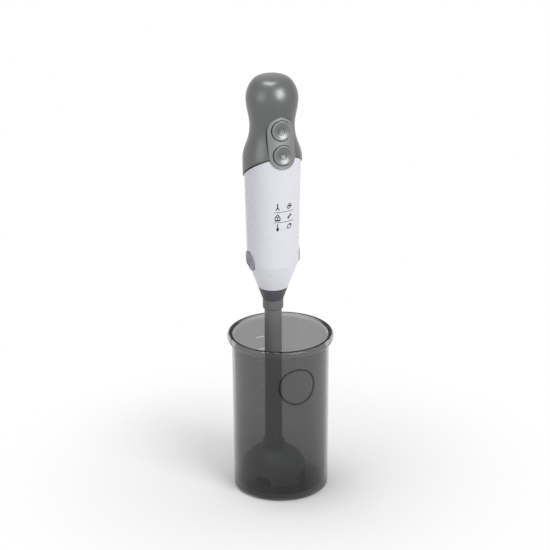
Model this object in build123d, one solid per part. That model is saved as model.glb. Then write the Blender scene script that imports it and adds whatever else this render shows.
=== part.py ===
from build123d import *
import math
import os

# Toy hand blender standing in its measuring cup.
# Millimetres, +Z up. The origin is the centre of the cup's underside and the
# blender's button side faces -Y. Each piece is a closed solid in a file of its own.

# ---------------------------------------------------------------- clearances
fit_gap = 0.1           # between pieces fixed in one assembly
shaft_gap = 0.05        # radial, round a turning shaft
slide_gap = 0.35        # round a piece that travels
rest_gap = 0.3          # between pieces that rest on each other and lift apart
boss_room = 0.4         # between a screw boss and the part under or over it
over = 1.0              # how far a cut runs past the face it opens
far = 60.0              # longer than any cut needs

# ---------------------------------------------------------------- measuring cup
cup_height = 137.5
cup_wall_radius = 40.3  # outside, under the rim
cup_draft = 0.8         # how much narrower the floor is
cup_wall = 2.2
cup_floor = 5.0
cup_base_round = 3.0
rim_step = 3.7          # how far the rim stands out from the wall
rim_height = 4.6
rim_round = 1.7
rim_lead_in = 2.8       # width of the bevel inside the rim
rim_lead_depth = 2.6
ring_radius = 16.0      # plain moulded ring on the front wall
ring_band = 1.3
ring_height = 104.5     # centre above the underside
ring_side = -2.0        # centre to the side of the front
mark_relief = 0.45      # how far moulded marks stand off the wall
mark_step_ml = 50
mark_count = 10
mark_thickness = 0.9
long_mark = 11.0
short_mark = 6.0

# ---------------------------------------------------------------- blender stand
stand_x = -4.1          # the blender's axis from the cup's centre
stand_y = 5.5

# ---------------------------------------------------------------- blending foot
bell_radius = 27.0
bell_wall = 2.0
bell_skirt = 7.0        # straight part above the mouth
bell_height = 32.0
bell_neck_height = 6.0
shoulder_out = 0.72     # point on the dome, as shares of its width and height
shoulder_up = 0.62
dome_slope = 0.18       # slope of the dome where it meets the neck
bell_slots = 4
slot_width = 15.0
slot_height = 9.0
shaft_radius = 7.15
shaft_wall = 1.8
tube_reveal = 121.2     # tube seen between the bell and the collar
neck_step = 1.35        # how far the collar stands out from the tube
neck_length = 8.0
neck_socket = 4.5       # how far the tube goes up into the collar
neck_round = 0.6
cone_length = 11.2
cone_inset = 0.1        # cone's top edge inside the body's bottom edge
socket_wall = 1.4
socket_depth = 10.2
detent_depth = 0.7
detent_height = 3.0
drive_shaft_radius = 1.5
bush_wall = 1.65
bush_length = 6.0
blade_reach = 18.5
blade_height = 4.2      # blade plane above the bell's mouth
blade_thickness = 1.6
blade_hub_radius = 4.0
blade_hub_height = 9.0
hub_tip = 1.0           # width of the hub's top face
dog_radius = 2.8
dog_length = 4.6
dog_play = 0.15         # on each side of the tongue
tongue_thickness = 1.6
tongue_height = 2.4

# ---------------------------------------------------------------- white body
body_bottom_radius = 12.6
taper_length = 22.8     # from the bottom up to the crease
crease_radius = 21.1
mid_length = 61.2       # from the crease up to the middle station
body_mid_radius = 22.4
top_length = 18.6       # from there up to where the parting line crosses the axis
body_top_radius = 23.0
body_wall = 2.2
body_floor = 2.2
parting_drop = 0.68     # fall of the parting plane towards the back, per mm
parting_gap = 0.5
parting_bevel = 0.5

# ---------------------------------------------------------------- silver grip
grip_step = 0.9         # how far the grip's skirt stands out from the body
flare_step = 0.2        # and the flare from the skirt
flare_length = 7.4      # lengths from station to station, upwards from the parting
throat_radius = 19.9
throat_length = 17.0
waist_radius = 18.3
waist_length = 14.0
head_radius = 20.6
head_length = 25.0
crown_length = 14.0
shoulder_radius = 15.5
shoulder_drop = 4.0     # from the top of the grip down to its rounded shoulder
grip_wall = 2.2

# ---------------------------------------------------------------- push buttons
button_tilt = 10.0      # degrees the button face leans back
bezel_stand = 3.0       # crown of the bezel in front of the grip's throat
button_rise = 9.6       # lower button above the flare
button_radius = 8.2
button_web = 3.4        # between the two buttons
button_proud = 0.5
button_dish = 1.1
dish_share = 0.8        # of the button's radius
button_flange = 0.65
button_flange_thickness = 1.2
button_stem_radius = 2.0
button_travel = 1.8
bezel_rim = 3.1         # round the buttons
bezel_depth = 4.5
bezel_curve = 26.0      # radius of the bezel's face across the grip
board_depth = 13.0      # face of the switch board behind the crown
board_thickness = 1.6
board_room = 6.3        # board's side edge inside the grip's waist
board_low_margin = 2.5  # board beyond the buttons, below and above
board_high_margin = 1.5
switch_size = 6.0
switch_height = 2.2
plunger_radius = 1.7
plunger_height = 1.1
post_radius = 1.7
post_inset = 2.6        # posts from the board's side edge
board_screw_radius = 0.75
board_screw_length = 5.0
spring_wire = 0.45      # radius of the wire
spring_turns = 4
switch_spring_room = 0.45   # between a button's spring and its switch's corners
chip_radius = 3.2
chip_height = 1.3

# ---------------------------------------------------------------- release buttons
release_rise = 1.9      # centre above the crease
release_half_height = 8.0
release_half_width = 8.2
release_proud = 0.9
release_plate = 1.3
release_rim = 1.4
release_travel = 1.4
rib_count = 3
rib_relief = 0.4
rib_thickness = 1.0
rib_pitch = 3.0
rib_half_width = 4.1
arm_half_width = 1.6
arm_thickness = 1.2
arm_setback = 0.35      # arm's outer face behind the plate's
arm_rise = 4.0          # arm's root below the button's centre
arm_end_room = 1.0      # arm's end above the spigot's end
release_spring_radius = 2.4
release_spring_room = 0.4

# ---------------------------------------------------------------- drive and motor
flange_radius = 10.0
flange_thickness = 1.8
spigot_length = 9.5
spigot_bore_room = 0.8  # round the coupling
motor_stand = 2.4       # gap between flange and motor plate, for the arms
plate_thickness = 2.0
plate_rim = 1.0         # motor plate beyond the flange
plate_post_radius = 1.5
plate_post_inset = 0.6  # posts from the flange's edge
motor_radius = 10.0
motor_half_flat = 7.5
motor_length = 20.0
motor_boss = 3.0
motor_shaft_radius = 1.0
motor_shaft_depth = 7.0 # shaft inside the motor
terminal_half_width = 1.0
terminal_half_thickness = 0.4
terminal_height = 1.5

# ---------------------------------------------------------------- power and sound
cell_radius = 5.25
cell_length = 44.5
cell_edge = 0.4
cell_nub_radius = 1.9
cell_nub_height = 0.8
cell_web = 1.0          # tray wall between neighbouring cells
contact_room = 2.6
contact_radius = 4.2
contact_thickness = 0.4
contact_dimple = 2.1
contact_spring_radius = 2.9
contact_wire = 0.36
contact_turns = 2
tray_room = 0.4         # between the tray and the body's inner wall at the crease
tray_wall = 1.0
tray_end = 1.6
tab_half_width = 4.8
tab_room = 1.2          # between the screw tab and the door
door_half_width = 13.0
door_margin = 0.8       # between the lower boss and the door's opening
door_bridge = 3.0       # rear shell left above the door
door_corner = 3.0
door_boss_wall = 0.9
door_boss_depth = 0.6   # boss inside the door's inner face
door_seat_height = 0.2
speaker_radius = 10.0
speaker_rim = 1.2
speaker_frame = 2.0     # thickness of its basket
speaker_depth = 5.0
magnet_radius = 5.0
speaker_rise = 5.0      # above the grip's waist
speaker_room = 0.6      # behind it, to the grip's inner wall
cradle_wall = 1.1
sound_hole = 0.9        # radius
sound_ring = 4.6
sound_holes = 8

# ---------------------------------------------------------------- screws
screw_radius = 1.25
screw_head_radius = 2.3
screw_head_height = 1.7
screw_bite = 7.0        # how far a screw goes into the front boss
cross_reach = 1.5       # half length of the cross in a screw's head
cross_half_width = 0.4
cross_depth = 1.0
boss_wall = 2.1
door_screw_length = 7.5

# ---------------------------------------------------------------- derived radii
cup_base_radius = cup_wall_radius - cup_draft
rim_radius = cup_wall_radius + rim_step
neck_radius = shaft_radius + neck_step
cone_top_radius = body_bottom_radius - cone_inset
socket_radius = neck_radius - socket_wall
spigot_radius = socket_radius - rest_gap
spigot_bore = dog_radius + spigot_bore_room
bush_radius = drive_shaft_radius + shaft_gap + bush_wall
arm_outer = math.sqrt((spigot_radius - rest_gap) ** 2 - arm_half_width ** 2)
arm_x = arm_outer - arm_thickness
boss_radius = screw_radius + shaft_gap + boss_wall
grip_low_radius = body_top_radius + grip_step
flare_radius = grip_low_radius + flare_step
bezel_radius = button_radius + bezel_rim
door_boss_radius = screw_head_radius + fit_gap + door_boss_wall
tray_radius = crease_radius - body_wall - tray_room
cell_ring = tray_radius - cell_radius
cell_spread = 2 * math.asin((cell_radius + slide_gap + cell_web / 2) / cell_ring)
tray_front = cell_ring * math.cos(cell_spread) - cell_radius - slide_gap - tray_wall
board_half_width = waist_radius - board_room
post_x = board_half_width - post_inset
terminal_x = boss_radius + boss_room + terminal_half_width

# ---------------------------------------------------------------- derived heights
bell_bottom = cup_floor + rest_gap
bell_top = bell_bottom + bell_height
bell_crown = bell_top - bell_neck_height
blade_plane = bell_bottom + blade_height
neck_bottom = bell_top + tube_reveal
neck_top = neck_bottom + neck_length
tube_top = neck_bottom + neck_socket
cone_top = neck_top + cone_length
socket_floor = cone_top - socket_depth
drive_dog_bottom = socket_floor + 2 * rest_gap
drive_dog_top = drive_dog_bottom + dog_length
motor_dog_bottom = drive_dog_top + rest_gap
motor_dog_slot = motor_dog_bottom + tongue_height + rest_gap
motor_dog_top = motor_dog_slot + dog_length
body_bottom = cone_top + rest_gap
spigot_bottom = body_bottom - spigot_length
flange_bottom = body_bottom + body_floor
flange_top = flange_bottom + flange_thickness
plate_bottom = flange_top + motor_stand
plate_top = plate_bottom + plate_thickness
motor_top = plate_top + motor_length
crease_height = body_bottom + taper_length
body_mid_height = crease_height + mid_length
parting_height = body_mid_height + top_length
flare_height = parting_height + flare_length
throat_height = flare_height + throat_length
waist_height = throat_height + waist_length
head_height = waist_height + head_length
grip_top = head_height + crown_length
release_height = crease_height + release_rise
lower_button_height = flare_height + button_rise
lower_screw_height = motor_top + boss_room + boss_radius
door_bottom = lower_screw_height + boss_radius + door_margin
door_top = parting_height - parting_drop * body_top_radius - door_bridge
door_screw_height = door_bottom + slide_gap + door_boss_radius + fit_gap
tray_bottom = door_screw_height + screw_radius + fit_gap
cells_bottom = tray_bottom + tray_end + contact_room
contacts_top = cells_bottom + cell_length + contact_room
tray_top = contacts_top + tray_end
middle_screw_height = tray_top + boss_room + boss_radius
upper_screw_height = head_height
speaker_height = waist_height + speaker_rise

# ---------------------------------------------------------------- derived depths
button_pitch = 2 * button_radius + button_web
button_face_y = throat_radius + bezel_stand
flange_high = -bezel_depth - rest_gap
flange_low = flange_high - button_flange_thickness
speaker_back = math.sqrt((waist_radius - grip_wall) ** 2 - speaker_radius ** 2) - speaker_room


# ---------------------------------------------------------------- shape helpers
def turned(points):
    """Solid of revolution about Z from (radius, height) corners."""
    outline = Polyline(*[(radius, 0, height) for radius, height in points], close=True)
    return revolve(make_face(outline), Axis.Z)


def rod(radius, low, high, x=0.0, y=0.0):
    """Upright cylinder between two heights."""
    return Pos(x, y, (low + high) / 2) * Cylinder(radius, high - low)


def tube(outer, inner, low, high):
    """Upright tube between two heights."""
    return rod(outer, low, high) - rod(inner, low - over, high + over)


def block(x_low, x_high, y_low, y_high, z_low, z_high):
    """Box between two corners."""
    centre = ((x_low + x_high) / 2, (y_low + y_high) / 2, (z_low + z_high) / 2)
    return Pos(*centre) * Box(x_high - x_low, y_high - y_low, z_high - z_low)


def rod_y(radius, y_low, y_high, x, z):
    """Cylinder along Y."""
    return Pos(x, (y_low + y_high) / 2, z) * Rot(90, 0, 0) * Cylinder(radius, y_high - y_low)


def rod_x(radius, x_low, x_high, y, z):
    """Cylinder along X."""
    return Pos((x_low + x_high) / 2, y, z) * Rot(0, 90, 0) * Cylinder(radius, x_high - x_low)


def coil(radius, wire, length, turns):
    """Compression spring from z 0 to length, its wire's outside included."""
    path = Helix(pitch=(length - 2 * wire) / turns, height=length - 2 * wire, radius=radius)
    section = Plane(origin=path @ 0, z_dir=path % 0) * Circle(wire)
    return Pos(0, 0, wire) * sweep(section, path=path, is_frenet=True)


def body_radius(height):
    """Outside radius of the white body at a height."""
    stations = [
        (body_bottom, body_bottom_radius),
        (crease_height, crease_radius),
        (body_mid_height, body_mid_radius),
        (parting_height, body_top_radius),
        (parting_height + far, body_top_radius),
    ]
    for (low, low_radius), (high, high_radius) in zip(stations, stations[1:]):
        if height <= high:
            share = (height - low) / (high - low)
            return low_radius + share * (high_radius - low_radius)
    return body_top_radius


def body_core(inset, low, high):
    """Solid inside the white body's outline, drawn in by inset, between two heights."""
    levels = [low]
    levels += [z for z in (crease_height, body_mid_height, parting_height) if low < z < high]
    levels.append(high)
    outline = [(0, low)] + [(body_radius(z) - inset, z) for z in levels] + [(0, high)]
    return turned(outline)


def grip_core(inset):
    """Solid inside the grip's outline, drawn in by inset, open-ended downwards."""
    low = parting_height - parting_drop * flare_radius - over
    side = Spline(
        (flare_radius - inset, 0, flare_height),
        (throat_radius - inset, 0, throat_height),
        (waist_radius - inset, 0, waist_height),
        (head_radius - inset, 0, head_height),
        (shoulder_radius - inset / 2, 0, grip_top - shoulder_drop - inset),
        (0, 0, grip_top - inset),
        tangents=[(0, 0, 1), (-1, 0, 0)],
    )
    skirt = Polyline(
        (0, 0, grip_top - inset),
        (0, 0, low),
        (grip_low_radius - inset, 0, low),
        (flare_radius - inset, 0, flare_height),
    )
    return revolve(make_face(side + skirt), Axis.Z)


def parting_plane(offset):
    """Slanted plane between body and grip, moved up by offset."""
    return Plane(origin=(0, 0, parting_height + offset), x_dir=(1, 0, 0), z_dir=(0, parting_drop, 1))


def front_half(shape):
    return shape & block(-far, far, -far, -fit_gap / 2, 0, grip_top + over)


def rear_half(shape):
    return shape & block(-far, far, fit_gap / 2, far, 0, grip_top + over)


def button_frame(along):
    """Frame on the bezel's crown: local Z points out of the buttons, local Y up the grip."""
    tilt = math.radians(button_tilt)
    outward = (0, -math.cos(tilt), math.sin(tilt))
    frame = Plane(origin=(0, -button_face_y, lower_button_height), x_dir=(1, 0, 0), z_dir=outward)
    return frame * Pos(0, along, 0)


def button_panel(radius, low, high):
    """Capsule round both buttons, in the bezel's frame, between two depths."""
    outline = Pos(0, button_pitch / 2) * Rot(0, 0, 90) * SlotOverall(button_pitch + 2 * radius, 2 * radius)
    return button_frame(0) * Pos(0, 0, low) * extrude(outline, high - low)


def release_prism(grow):
    """Elliptical bar along X, for the release buttons and their holes."""
    outline = Ellipse(release_half_width + grow, release_half_height + grow)
    return Plane(origin=(0, 0, release_height), x_dir=(0, 1, 0), z_dir=(1, 0, 0)) * extrude(outline, far)


def door_prism(shrink):
    """Rounded rectangular bar along +Y, for the battery door and its opening."""
    width = 2 * (door_half_width - shrink)
    height = door_top - door_bottom - 2 * shrink
    outline = RectangleRounded(width, height, door_corner)
    middle = (door_top + door_bottom) / 2
    return Plane(origin=(0, 0, middle), x_dir=(-1, 0, 0), z_dir=(0, 1, 0)) * extrude(outline, far)


def cell_places():
    """Centres of the three cells, side by side round the back."""
    angles = [math.pi / 2 + side * cell_spread for side in (-1, 0, 1)]
    return [(cell_ring * math.cos(angle), cell_ring * math.sin(angle)) for angle in angles]


# ---------------------------------------------------------------- measuring cup
def measuring_cup():
    inner_top = cup_wall_radius - cup_wall
    inner_base = cup_base_radius - cup_wall
    rim_low = cup_height - rim_height
    vessel = turned([
        (0, 0),
        (cup_base_radius - cup_base_round, 0),
        (cup_base_radius, cup_base_round),
        (cup_wall_radius, rim_low - (rim_radius - cup_wall_radius) / 2),
        (rim_radius, rim_low),
        (rim_radius, cup_height - rim_round),
        (rim_radius - rim_round, cup_height),
        (inner_top + rim_lead_in, cup_height),
        (inner_top, cup_height - rim_lead_depth),
        (inner_base, cup_floor + cup_base_round),
        (inner_base - cup_base_round, cup_floor),
        (0, cup_floor),
    ])
    return vessel + cup_ring() + cup_marks()


def wall_radius(height):
    """Outside radius of the cup's wall at a height."""
    share = height / (cup_height - rim_height)
    return cup_base_radius + share * (cup_wall_radius - cup_base_radius)


def wall_skin(depth):
    """Thin sleeve that hugs the cup's wall, from inside it to depth outside it."""
    low = cup_floor
    high = cup_height - 2 * rim_height
    half_wall = cup_wall / 2
    return turned([
        (wall_radius(low) - half_wall, low),
        (wall_radius(low) + depth, low),
        (wall_radius(high) + depth, high),
        (wall_radius(high) - half_wall, high),
    ])


def cup_ring():
    """Plain raised ring on the front wall."""
    outline = Circle(ring_radius) - Circle(ring_radius - ring_band)
    face = Plane(origin=(ring_side, 0, ring_height), x_dir=(1, 0, 0), z_dir=(0, -1, 0))
    return wall_skin(mark_relief) & (face * extrude(outline, far))


def mark_height(millilitres):
    """Height of a fill mark, from the cup's inside area."""
    inside = (cup_base_radius + cup_wall_radius) / 2 - cup_wall
    return cup_floor + millilitres * 1000 / (math.pi * inside ** 2)


def cup_marks():
    """Fill marks on the back wall, a long one at every second step."""
    skin = wall_skin(mark_relief)
    bars = []
    for step in range(1, mark_count + 1):
        half_length = (long_mark if step % 2 == 0 else short_mark) / 2
        low = mark_height(step * mark_step_ml) - mark_thickness / 2
        bars.append(skin & block(-half_length, half_length, 0, far, low, low + mark_thickness))
    return bars


# ---------------------------------------------------------------- blending foot
def bell_core(inset):
    """Solid dome of the blade guard, drawn in by inset."""
    shoulder = bell_bottom + bell_skirt
    side = bell_radius - inset
    neck = shaft_radius + bell_wall - inset
    crown = bell_crown - inset
    dome = Spline(
        (side, 0, shoulder),
        (neck + shoulder_out * (side - neck), 0, shoulder + shoulder_up * (crown - shoulder)),
        (neck, 0, crown),
        tangents=[(0, 0, 1), (-1, 0, dome_slope)],
    )
    rest = Polyline(
        (neck, 0, crown),
        (0, 0, crown),
        (0, 0, bell_bottom),
        (side, 0, bell_bottom),
        (side, 0, shoulder),
    )
    return revolve(make_face(dome + rest), Axis.Z)


def blade_guard():
    """Bell-shaped guard round the blade, with arched openings in its skirt."""
    guard = bell_core(0) - bell_core(bell_wall)
    guard += rod(shaft_radius + bell_wall, bell_crown - 2 * bell_wall, bell_top)
    guard -= rod(shaft_radius + fit_gap, bell_crown, bell_top + over)
    guard -= rod(bush_radius + fit_gap, 0, bell_top)
    tall = slot_height + slot_width
    outline = Pos(0, bell_bottom + slot_height - tall / 2) * RectangleRounded(
        slot_width, tall, slot_width / 3)
    arch = Plane(origin=(0, 0, 0), x_dir=(1, 0, 0), z_dir=(0, -1, 0)) * extrude(outline, far)
    for turn in range(bell_slots):
        guard -= Rot(0, 0, (turn + 0.5) * 360 / bell_slots) * arch
    return guard


def shaft_tube():
    return tube(shaft_radius, shaft_radius - shaft_wall, bell_crown + fit_gap, tube_top)


def foot_cone():
    """Cone and collar that join the tube to the body, with the coupling's socket."""
    cone = turned([
        (0, neck_bottom),
        (neck_radius, neck_bottom),
        (neck_radius, neck_top),
        (cone_top_radius, cone_top),
        (0, cone_top),
    ])
    cone = fillet(cone.edges().filter_by(GeomType.CIRCLE).group_by(Axis.Z)[0], neck_round)
    detent_low = (socket_floor + cone_top - detent_height) / 2
    cone -= rod(socket_radius, socket_floor, cone_top + over)
    cone -= rod(socket_radius + detent_depth, detent_low, detent_low + detent_height)
    cone -= rod(shaft_radius + fit_gap, neck_bottom - over, tube_top + fit_gap)
    cone -= rod(bush_radius + fit_gap, neck_bottom, cone_top)
    return cone


def bush(low):
    """Plain bearing for the drive shaft."""
    return tube(bush_radius, drive_shaft_radius + shaft_gap, low, low + bush_length)


def lower_bush():
    return bush(bell_crown - 2 * bell_wall)


def upper_bush():
    return bush(socket_floor - bush_length)


def drive_shaft():
    return rod(drive_shaft_radius, blade_plane - blade_thickness, drive_dog_bottom)


def drive_dog():
    """Driven half of the coupling, with a tongue on top."""
    tongue_reach = math.sqrt(dog_radius ** 2 - (tongue_thickness / 2) ** 2)
    tongue = block(-tongue_reach, tongue_reach, -tongue_thickness / 2, tongue_thickness / 2,
                   drive_dog_top, drive_dog_top + tongue_height)
    return rod(dog_radius, drive_dog_bottom, drive_dog_top) + tongue


def blade_hub():
    low = blade_plane + blade_thickness
    return turned([
        (drive_shaft_radius, low),
        (blade_hub_radius, low),
        (blade_hub_radius, (low + blade_plane + blade_hub_height) / 2),
        (drive_shaft_radius + hub_tip, blade_plane + blade_hub_height),
        (drive_shaft_radius, blade_plane + blade_hub_height),
    ])


def blade():
    """Blunt two-winged blade with swept-back wings."""
    shares = [(0, -1), (0.6, -0.9), (1, -0.1), (0.93, 0.75), (0.55, 0.62), (0, 1)]
    corners = [(along * blade_reach, across * blade_hub_radius, blade_plane) for along, across in shares]
    wing = extrude(make_face(Polyline(*corners, close=True)), blade_thickness, dir=(0, 0, 1))
    tips = [edge for edge in wing.edges().filter_by(Axis.Z) if edge.center().X > blade_reach * 0.8]
    wing = fillet(tips, blade_thickness / 2)
    both = wing + Rot(0, 0, 180) * wing + rod(blade_hub_radius, blade_plane, blade_plane + blade_thickness)
    return both - rod(drive_shaft_radius, 0, bell_top)


# ---------------------------------------------------------------- white body shells
def body_shell():
    """Both halves of the white body in one, with every opening cut."""
    top = parting_height + parting_drop * body_top_radius + over
    shell = body_core(0, body_bottom, top) - body_core(body_wall, flange_bottom, top + over)
    shell = split(shell, bisect_by=parting_plane(-parting_gap / 2), keep=Keep.BOTTOM)
    shell -= rod(spigot_radius + fit_gap, 0, flange_bottom + over)
    for side in (0, 180):
        shell -= Rot(0, 0, side) * release_prism(slide_gap)
    rims = [edge for edge in shell.edges() if on_parting_rim(edge)]
    return chamfer(rims, parting_bevel) - bezel_seat()


def on_parting_rim(edge):
    """True for the outer edge where the body meets the parting gap."""
    top = parting_plane(-parting_gap / 2)
    spots = [edge @ share for share in (0.1, 0.5, 0.9)]
    on_plane = all(abs(top.to_local_coords(spot).Z) < shaft_gap for spot in spots)
    outside = all(math.hypot(spot.X, spot.Y) > body_top_radius - body_wall / 2 for spot in spots)
    return on_plane and outside


def boss(y_low, y_high, height, bore):
    """Hollow screw boss along Y."""
    outside = rod_y(boss_radius, y_low, y_high, 0, height)
    return outside - rod_y(bore, y_low - over, y_high + over, 0, height)


def front_shell(both):
    shell = front_half(both)
    for height in (lower_screw_height, middle_screw_height):
        reach = body_radius(height) - body_wall / 2
        shell += boss(-reach, -fit_gap, height, screw_radius + shaft_gap)
    return shell


def rear_shell(both):
    shell = rear_half(both)
    reach = body_radius(lower_screw_height) - body_wall / 2
    shell += boss(fit_gap / 2, reach, lower_screw_height, screw_radius + fit_gap)
    shell -= rod_y(screw_head_radius + fit_gap, lower_seat(), far, 0, lower_screw_height)
    return shell - door_prism(0)


def lower_seat():
    """Where the lower screw's head sits, from the axis."""
    return body_radius(lower_screw_height) - body_wall - screw_head_height


def screw(seat, height, length):
    """Self-tapping screw along Y, head towards the back, with a cross recess."""
    top = seat + screw_head_height
    shank = rod_y(screw_radius, seat - length, seat, 0, height)
    head = rod_y(screw_head_radius, seat, top, 0, height)
    cross = block(-cross_reach, cross_reach, top - cross_depth, top + over,
                  height - cross_half_width, height + cross_half_width)
    cross += block(-cross_half_width, cross_half_width, top - cross_depth, top + over,
                   height - cross_reach, height + cross_reach)
    return shank + head - cross


def shell_screws():
    """Three long screws from the back into the front bosses."""
    seats = [
        (lower_seat(), lower_screw_height),
        (grip_seat(grip_low_radius), middle_screw_height),
        (grip_seat(head_radius), upper_screw_height),
    ]
    return [screw(seat, height, seat + screw_bite) for seat, height in seats]


# ---------------------------------------------------------------- silver grip shells
def grip_shell():
    """Both halves of the grip in one, with the buttons' panel cut out."""
    shell = grip_core(0) - grip_core(grip_wall)
    shell = split(shell, bisect_by=parting_plane(parting_gap / 2), keep=Keep.TOP)
    return shell - bezel_seat()


def grip_seat(radius):
    """Where a screw's head sits in the grip, from the axis."""
    return radius - grip_wall - screw_head_height


def grip_front(both):
    reach = head_radius - grip_wall / 2
    return front_half(both) + boss(-reach, -fit_gap, upper_screw_height, screw_radius + shaft_gap)


def grip_rear(both):
    """Back of the grip, with two screw bosses, the speaker's cradle and sound holes."""
    shell = rear_half(both)
    for height, radius in ((middle_screw_height, grip_low_radius), (upper_screw_height, head_radius)):
        shell += boss(fit_gap / 2, radius - grip_wall / 2, height, screw_radius + fit_gap)
        shell -= rod_y(screw_head_radius + fit_gap, grip_seat(radius), far, 0, height)
    cradle = rod_y(speaker_radius + fit_gap + cradle_wall, speaker_back - speaker_frame, far, 0, speaker_height)
    cradle -= rod_y(speaker_radius + fit_gap, 0, speaker_back + fit_gap, 0, speaker_height)
    cradle -= rod_y(speaker_radius - speaker_rim, 0, far, 0, speaker_height)
    shell += cradle & grip_core(grip_wall / 2)
    for x, z in sound_hole_places():
        shell -= rod_y(sound_hole, speaker_back, far, x, speaker_height + z)
    return shell


def sound_hole_places():
    """One hole in the middle and a ring of them, about the speaker's centre."""
    turns = [2 * math.pi * step / sound_holes for step in range(sound_holes)]
    return [(0, 0)] + [(sound_ring * math.cos(turn), sound_ring * math.sin(turn)) for turn in turns]


# ---------------------------------------------------------------- push buttons
def bezel_seat():
    """Capsule-shaped hole through the front walls for the bezel."""
    return button_panel(bezel_radius + fit_gap, -board_depth, bezel_curve)


def button_bezel():
    """Raised capsule panel that holds both buttons, with posts for the switch board."""
    barrel = Pos(0, 0, -bezel_curve) * Rot(90, 0, 0) * Cylinder(bezel_curve, 2 * far)
    panel = button_panel(bezel_radius, -bezel_depth, over) & (button_frame(0) * barrel)
    for along in (0, button_pitch):
        panel -= button_frame(along) * Cylinder(button_radius + slide_gap, far)
    for x in (-post_x, post_x):
        middle = -(bezel_depth + board_depth) / 2
        panel += button_frame(button_pitch / 2) * Pos(x, 0, middle) * Cylinder(
            post_radius, board_depth - bezel_depth)
        panel -= button_frame(button_pitch / 2) * Pos(x, 0, -board_depth) * Cylinder(
            board_screw_radius + shaft_gap, 2 * (board_depth - bezel_depth))
    return panel


def push_button(along):
    """Dished round button with a retaining flange and a stem over its switch."""
    stem_low = -board_depth + switch_height + plunger_height + button_travel + rest_gap
    face = Pos(0, 0, (button_proud + flange_low) / 2) * Cylinder(button_radius, button_proud - flange_low)
    face = fillet(face.edges().filter_by(GeomType.CIRCLE).group_by(Axis.Z)[-1], button_proud)
    dish_span = button_radius * dish_share
    dish_curve = (dish_span ** 2 + button_dish ** 2) / (2 * button_dish)
    face -= Pos(0, 0, button_proud + dish_curve - button_dish) * Sphere(dish_curve)
    flange = Pos(0, 0, (flange_low + flange_high) / 2) * Cylinder(
        button_radius + button_flange, button_flange_thickness)
    stem = Pos(0, 0, (stem_low + flange_low) / 2) * Cylinder(button_stem_radius, flange_low - stem_low)
    return button_frame(along) * (face + flange + stem)


def button_spring(along):
    """Return spring round a switch, from the board to the button's flange."""
    radius = math.hypot(switch_size, switch_size) / 2 + switch_spring_room + spring_wire
    spring = coil(radius, spring_wire, board_depth + flange_low, spring_turns)
    return button_frame(along) * Pos(0, 0, -board_depth) * spring


def switch(along):
    """Tact switch: square case and round plunger."""
    case = Pos(0, 0, switch_height / 2) * Box(switch_size, switch_size, switch_height)
    plunger = Pos(0, 0, switch_height + plunger_height / 2) * Cylinder(plunger_radius, plunger_height)
    return button_frame(along) * Pos(0, 0, -board_depth) * (case + plunger)


def switch_board():
    """Flat board behind both buttons."""
    low = -button_radius - board_low_margin
    high = button_pitch + button_radius + board_high_margin
    board = Box(2 * board_half_width, high - low, board_thickness)
    board = Pos(0, (low + high) / 2, 0) * board
    for x in (-post_x, post_x):
        board -= Pos(x, button_pitch / 2, 0) * Cylinder(board_screw_radius + shaft_gap, far)
    return button_frame(0) * Pos(0, 0, -board_depth - board_thickness / 2) * board


def board_screws():
    """Two small screws that hold the board to the bezel's posts."""
    shank = Pos(0, 0, board_screw_length / 2) * Cylinder(board_screw_radius, board_screw_length)
    cap = Pos(0, 0, -board_screw_radius) * Cylinder(2 * board_screw_radius, 2 * board_screw_radius)
    back = button_frame(button_pitch / 2) * Pos(0, 0, -board_depth - board_thickness)
    return [back * Pos(x, 0, 0) * (shank + cap) for x in (-post_x, post_x)]


def sound_chip():
    """Blob of potting resin over the sound chip, on the back of the board."""
    curve = (chip_radius ** 2 + chip_height ** 2) / (2 * chip_height)
    blob = Pos(0, 0, curve - chip_height) * Sphere(curve)
    blob &= Pos(0, 0, -curve) * Box(far, far, 2 * curve)
    return button_frame(button_pitch / 2) * Pos(0, 0, -board_depth - board_thickness) * blob


# ---------------------------------------------------------------- release buttons
def release_button():
    """Release button on the +X side: curved pad, inner rim and latch arm."""
    outer = body_wall + rest_gap
    inner = outer + release_plate
    low = release_height - release_half_height - 2 * release_rim
    high = release_height + release_half_height + 2 * release_rim
    hollow = body_core(inner, low - over, high + over)
    piece = (body_core(-release_proud, low, high) - hollow) & release_prism(0)
    piece += (body_core(outer, low, high) - hollow) & release_prism(release_rim)
    return piece + release_ribs(low, high) + release_arm()


def release_ribs(low, high):
    """Finger ribs on the pad."""
    skin = body_core(-release_proud - rib_relief, low, high)
    skin -= body_core(-release_proud + rib_relief, low - over, high + over)
    ribs = []
    for step in range(rib_count):
        rib_low = release_height + (step - (rib_count - 1) / 2) * rib_pitch - rib_thickness / 2
        ribs.append(skin & block(0, far, -rib_half_width, rib_half_width, rib_low, rib_low + rib_thickness))
    return ribs


def release_arm():
    """Arm from the button down past the motor into the coupling."""
    knee = flange_top + rest_gap
    root = release_height - arm_rise
    inset = body_wall + rest_gap + arm_setback
    knee_outer = body_radius(knee) - inset
    root_outer = body_radius(root) - inset
    outline = Polyline(
        (arm_x, 0, spigot_bottom + arm_end_room),
        (arm_outer, 0, spigot_bottom + arm_end_room),
        (arm_outer, 0, knee),
        (knee_outer, 0, knee),
        (root_outer, 0, root),
        (root_outer - arm_thickness, 0, root),
        (knee_outer - arm_thickness, 0, knee + arm_thickness),
        (arm_x, 0, knee + arm_thickness),
        close=True,
    )
    return Pos(0, arm_half_width, 0) * extrude(make_face(outline), 2 * arm_half_width, dir=(0, -1, 0))


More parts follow.
